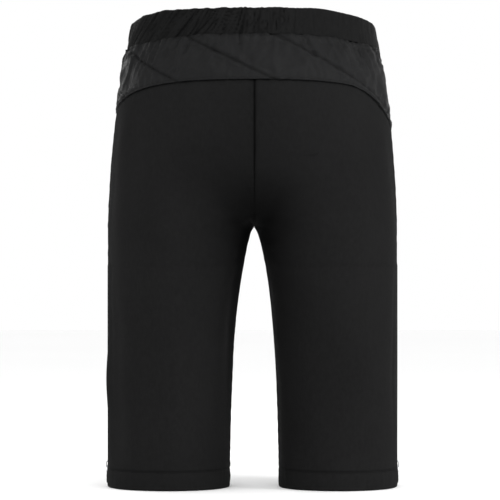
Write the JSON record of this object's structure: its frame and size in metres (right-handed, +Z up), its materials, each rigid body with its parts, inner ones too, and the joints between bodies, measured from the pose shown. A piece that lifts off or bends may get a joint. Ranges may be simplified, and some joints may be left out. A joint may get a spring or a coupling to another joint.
{
  "type": "padded impact shorts",
  "caption": "Knee-length padded ski shorts in worn shape: quilted seat yoke, gathered elastic waistband, plain legs with side zips, foam pads inside.",
  "frame": {"origin": "on the floor under the middle of the worn shorts, both hems standing on z = 0", "axes": "+Z up from hem to waist, the wearer faces -Y, +X is the wearer's left"},
  "size_m": [0.352, 0.235, 0.5675],
  "materials": {
    "softshell": "matte black softshell, fine plain face",
    "quilted_cloth": "black woven polyester, slight sheen, quilted",
    "wadding": "polyester wadding",
    "lining": "plain woven lining",
    "waistband": "gathered woven casing",
    "elastic": "knitted elastic webbing",
    "zip_tape": "woven zip tape",
    "zip_teeth": "moulded black acetal",
    "zip_metal": "gunmetal",
    "pull_tab": "moulded soft plastic",
    "foam": "moulded foam with a knit face",
    "mesh": "open knitted mesh",
    "label": "plain satin ribbon, no print"
  },
  "bodies": {
    "shorts": {"back_panel_left": "softshell", "front_panel_left": "softshell", "hem_facing_left": "softshell", "back_panel_right": "softshell", "front_panel_right": "softshell", "hem_facing_right": "softshell", "back_yoke": "quilted_cloth", "back_yoke_wadding": "wadding", "back_yoke_lining": "lining", "front_yoke": "quilted_cloth", "front_yoke_wadding": "wadding", "front_yoke_lining": "lining", "waistband_casing": "waistband", "waist_elastic": "elastic", "zip_tape_front_left": "zip_tape", "zip_teeth_front_left": "zip_teeth", "zip_hem_stop_front_left": "zip_metal", "zip_tape_back_left": "zip_tape", "zip_teeth_back_left": "zip_teeth", "zip_hem_stop_back_left": "zip_metal", "zip_end_stop_left": "zip_metal", "zip_guard_left": "lining", "zip_tape_front_right": "zip_tape", "zip_teeth_front_right": "zip_teeth", "zip_hem_stop_front_right": "zip_metal", "zip_tape_back_right": "zip_tape", "zip_teeth_back_right": "zip_teeth", "zip_hem_stop_back_right": "zip_metal", "zip_end_stop_right": "zip_metal", "zip_guard_right": "lining", "tailbone_pad": "foam", "tailbone_pad_pocket": "mesh", "hip_left_pad": "foam", "hip_left_pad_pocket": "mesh", "hip_right_pad": "foam", "hip_right_pad_pocket": "mesh", "thigh_left_pad": "foam", "thigh_left_pad_pocket": "mesh", "thigh_right_pad": "foam", "thigh_right_pad_pocket": "mesh", "care_label": "label"},
    "zip_slider_left": {"zip_slider_left": "zip_metal"},
    "zip_pull_left": {"zip_pull_loop_left": "zip_metal", "zip_pull_tab_left": "pull_tab"},
    "zip_slider_right": {"zip_slider_right": "zip_metal"},
    "zip_pull_right": {"zip_pull_loop_right": "zip_metal", "zip_pull_tab_right": "pull_tab"}
  },
  "joints": [
    {"name": "side_zip_left", "type": "slide", "parent": "shorts", "child": "zip_slider_left", "axis": [0, 0, 1], "range_m": [0, 0.222]},
    {"name": "zip_pull_left_swing", "type": "hinge", "parent": "zip_slider_left", "child": "zip_pull_left", "pos_m": [0.174, -0.0075, 0.025], "axis": [0, -1, 0], "range_deg": [0, 145]},
    {"name": "side_zip_right", "type": "slide", "parent": "shorts", "child": "zip_slider_right", "axis": [0, 0, 1], "range_m": [0, 0.222]},
    {"name": "zip_pull_right_swing", "type": "hinge", "parent": "zip_slider_right", "child": "zip_pull_right", "pos_m": [-0.174, -0.0075, 0.025], "axis": [0, 1, 0], "range_deg": [0, 145]}
  ]
}
